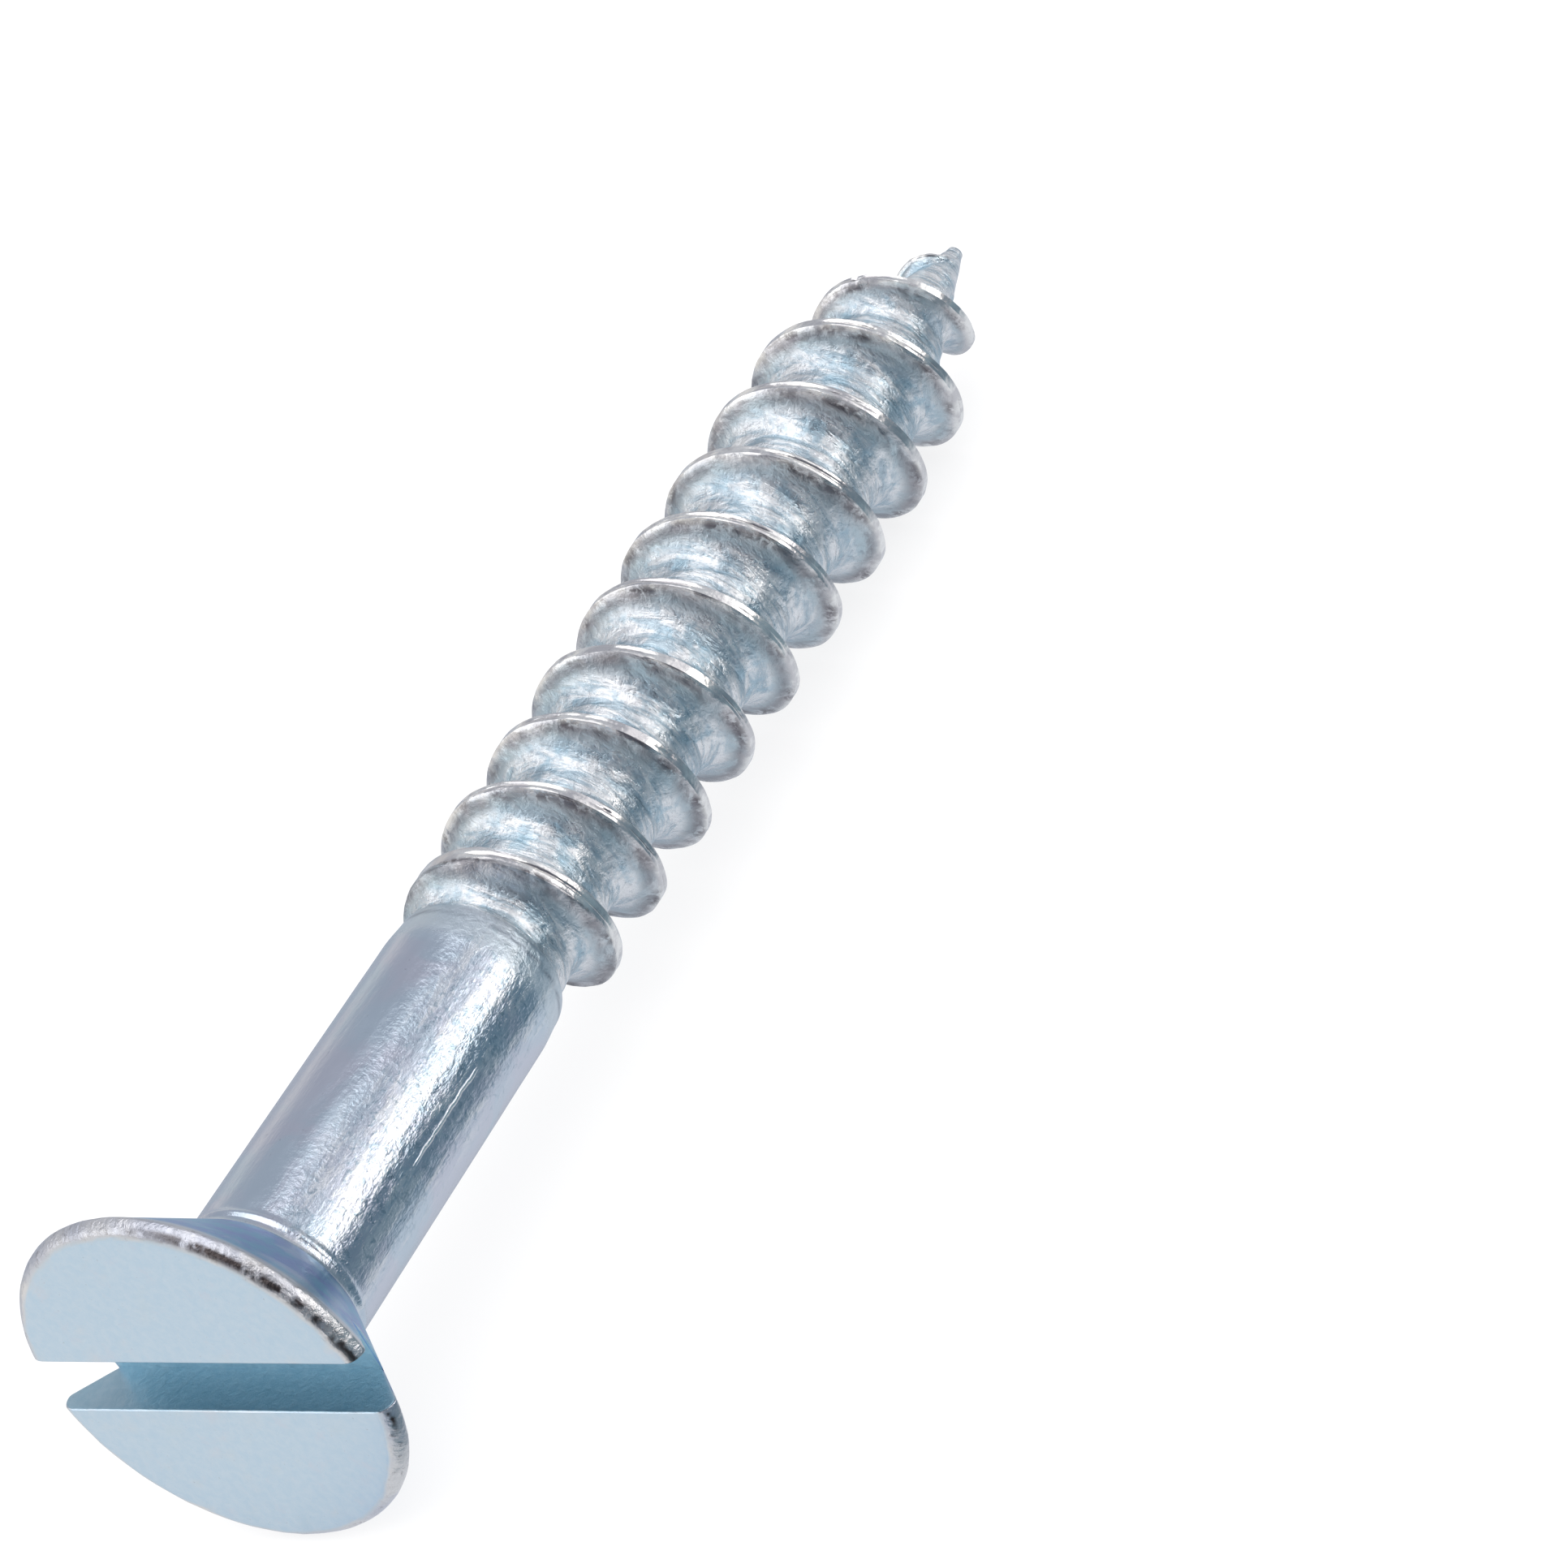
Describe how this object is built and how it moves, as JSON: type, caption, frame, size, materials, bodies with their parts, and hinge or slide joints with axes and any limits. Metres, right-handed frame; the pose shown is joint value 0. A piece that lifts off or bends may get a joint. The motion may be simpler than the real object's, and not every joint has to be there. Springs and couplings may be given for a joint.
{
  "type": "wood screw",
  "caption": "Slotted countersunk wood screw with a plain shank, a coarse right-hand thread and a gimlet point, bright zinc plated.",
  "frame": {"origin": "centre of the head's face, on the screw's axis, in the plane of the wood's surface when the head is driven flush", "axes": "+X along the screw's axis from the head to the point, the driving slot along Y, +Z square to the slot"},
  "size_m": [0.03, 0.0074, 0.0074],
  "materials": {
    "zinc_plated_steel": "bright zinc with a thin blue-white passivation, glossy on the shank and satin on the head's face"
  },
  "bodies": {
    "root": {"wood_screw": "zinc_plated_steel"}
  },
  "joints": []
}
